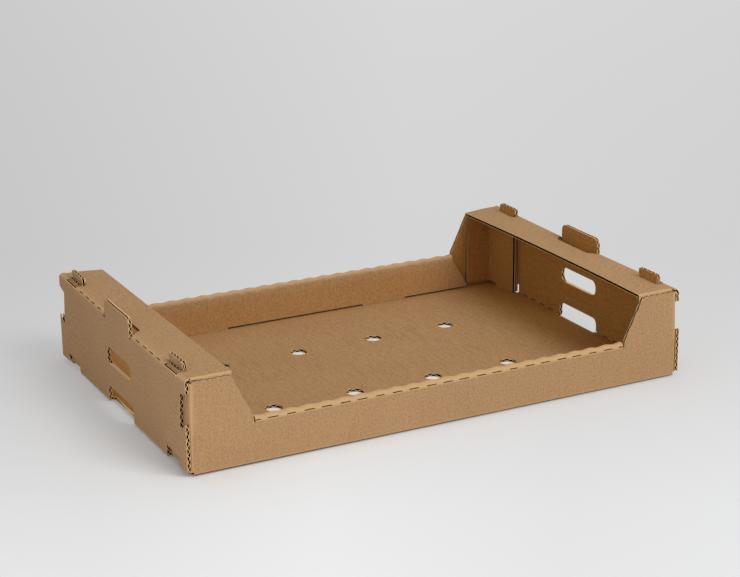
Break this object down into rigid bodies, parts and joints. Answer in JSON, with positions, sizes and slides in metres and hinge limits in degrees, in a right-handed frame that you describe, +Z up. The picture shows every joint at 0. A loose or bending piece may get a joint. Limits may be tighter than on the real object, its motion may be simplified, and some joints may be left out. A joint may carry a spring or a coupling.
{
  "type": "corrugated cardboard stacking tray",
  "caption": "Open corrugated cardboard tray folded from one sheet, with tall ends, rolled low sides, hand holes, stacking tabs and slots, and a vented base.",
  "frame": {"origin": "middle of the tray's underside, on the surface it stands on", "axes": "+X along the length towards one end wall, +Y across the width, +Z up"},
  "size_m": [0.6, 0.4, 0.122],
  "materials": {
    "kraft_board": "matte brown kraft paper with a faint flute texture"
  },
  "bodies": {
    "root": {"tray": "kraft_board"}
  },
  "joints": []
}
